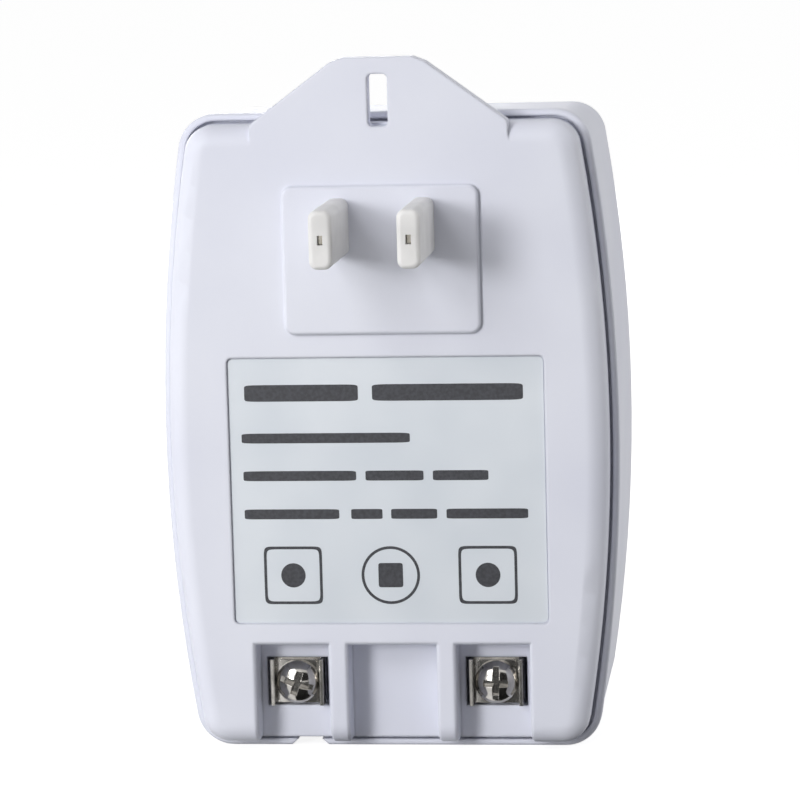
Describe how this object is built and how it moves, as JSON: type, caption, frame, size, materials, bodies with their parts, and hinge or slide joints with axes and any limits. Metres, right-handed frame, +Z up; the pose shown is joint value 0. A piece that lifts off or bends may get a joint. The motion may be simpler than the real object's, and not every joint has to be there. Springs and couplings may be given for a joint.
{
  "type": "plug-in transformer",
  "caption": "White plug-in transformer: barrel-sided case with insulated blades, a slotted fixing ear, a bare label and screw terminals in open bays.",
  "frame": {"origin": "midway between the two plug blades, on the face that lies against the outlet", "axes": "+Z up the case towards the fixing ear, -Y along the blades into the outlet, +X to the right seen from the outlet"},
  "size_m": [0.0686, 0.0715, 0.1047],
  "materials": {
    "white_case_plastic": "satin moulded",
    "label_film": "satin film",
    "blade_metal": "nickel plated",
    "sleeve_plastic": "soft moulded",
    "plated_steel": "nickel plated",
    "core_steel": "varnished laminations",
    "former_nylon": "moulded",
    "enamelled_copper": "enamelled wire",
    "wrap_film": "polyester film",
    "fuse_case": "moulded",
    "lead_insulation": "extruded"
  },
  "bodies": {
    "case": {"front_housing": "white_case_plastic", "back_cover": "white_case_plastic", "rating_label": "label_film", "left_blade": "blade_metal", "right_blade": "blade_metal", "left_blade_sleeve": "sleeve_plastic", "right_blade_sleeve": "sleeve_plastic", "left_terminal_plate": "plated_steel", "right_terminal_plate": "plated_steel", "core_e_stack": "core_steel", "core_i_stack": "core_steel", "bobbin": "former_nylon", "primary_winding": "enamelled_copper", "secondary_winding": "enamelled_copper", "primary_tape": "wrap_film", "secondary_tape": "wrap_film", "primary_pins": "blade_metal", "secondary_pins": "blade_metal", "thermal_fuse": "fuse_case", "left_primary_lead": "lead_insulation", "right_primary_lead": "lead_insulation", "left_secondary_lead": "lead_insulation", "right_secondary_lead": "lead_insulation"},
    "left_clamp": {"left_clamp_washer": "plated_steel"},
    "left_screw": {"left_terminal_screw": "plated_steel"},
    "right_clamp": {"right_clamp_washer": "plated_steel"},
    "right_screw": {"right_terminal_screw": "plated_steel"}
  },
  "joints": [
    {"name": "left_clamp_lift", "type": "slide", "parent": "case", "child": "left_clamp", "axis": [0, -1, 0], "range_m": [0, 0.00198]},
    {"name": "left_screw_turn", "type": "hinge", "parent": "left_clamp", "child": "left_screw", "pos_m": [-0.01515, 0.0063, -0.0698], "axis": [0, -1, 0], "range_deg": [0, 900]},
    {"name": "right_clamp_lift", "type": "slide", "parent": "case", "child": "right_clamp", "axis": [0, -1, 0], "range_m": [0, 0.00198]},
    {"name": "right_screw_turn", "type": "hinge", "parent": "right_clamp", "child": "right_screw", "pos_m": [0.01515, 0.0063, -0.0698], "axis": [0, -1, 0], "range_deg": [0, 900]}
  ],
  "couplings": [
    {"joint": "left_screw_turn", "follows": "left_clamp_lift", "rad_per_m": 7915.8},
    {"joint": "right_screw_turn", "follows": "right_clamp_lift", "rad_per_m": 7915.8}
  ]
}
